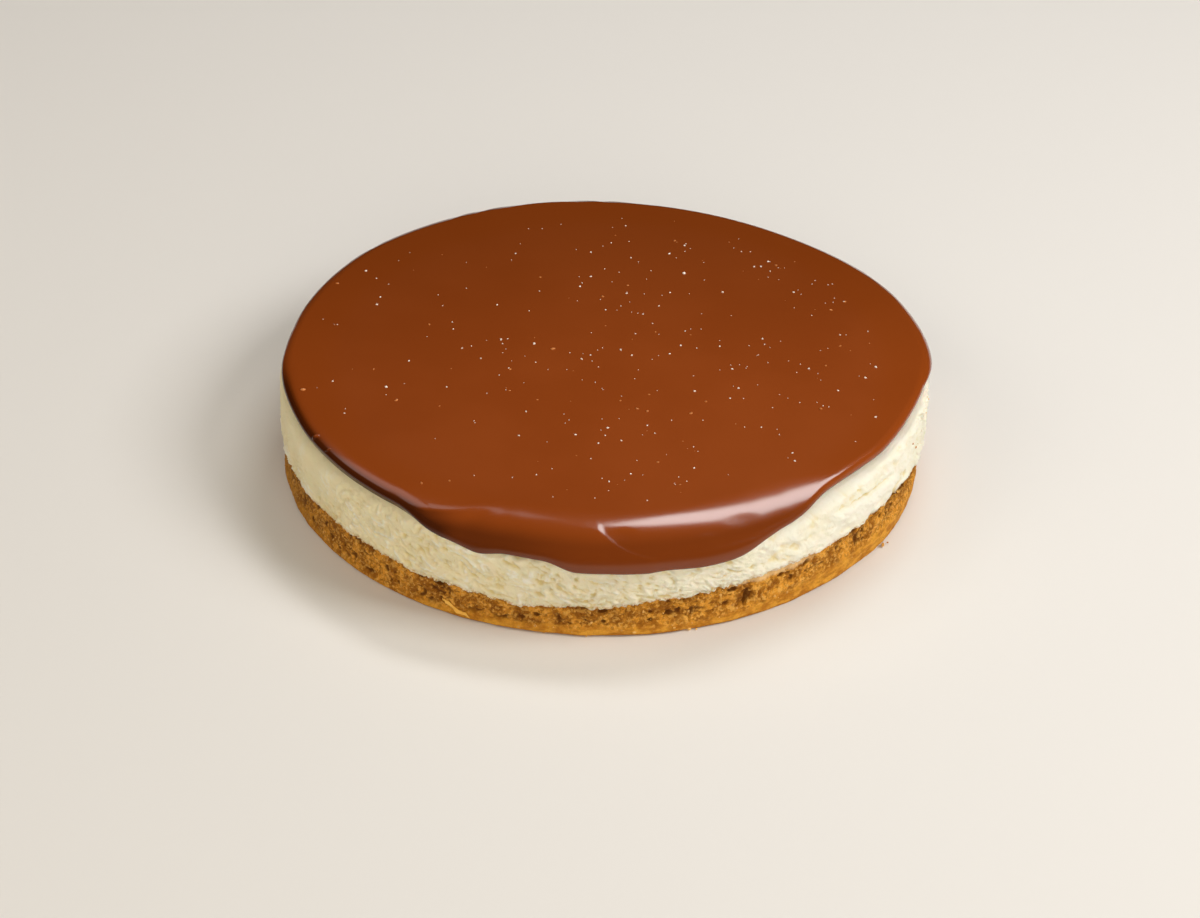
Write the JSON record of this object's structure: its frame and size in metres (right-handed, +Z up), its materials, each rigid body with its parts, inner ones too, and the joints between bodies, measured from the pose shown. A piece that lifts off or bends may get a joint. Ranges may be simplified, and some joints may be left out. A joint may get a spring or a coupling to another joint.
{
  "type": "baked cheesecake",
  "caption": "Whole round baked cheesecake: biscuit crumb base, pale cream cheese filling and a poured milk chocolate glaze that hangs over the front edge in broad lobes.",
  "frame": {"origin": "on the surface the cake stands on, under the middle of its outline", "axes": "+Z up, -Y the front where the glaze hangs lowest, +X to the right seen from the front"},
  "size_m": [0.2484, 0.2518, 0.0414],
  "materials": {
    "baked_crumb": "rough pressed biscuit crumbs, golden to dark brown",
    "set_cheese": "matt pale cream, finely pitted where the ring was drawn off",
    "milk_chocolate": "smooth milk chocolate glaze with a soft shine",
    "pale_specks": "tiny pale bubbles and sugar specks",
    "toffee_specks": "tiny orange-brown caramel specks"
  },
  "bodies": {
    "root": {"crumb_base": "baked_crumb", "cheese_filling": "set_cheese", "chocolate_glaze": "milk_chocolate"}
  },
  "joints": []
}
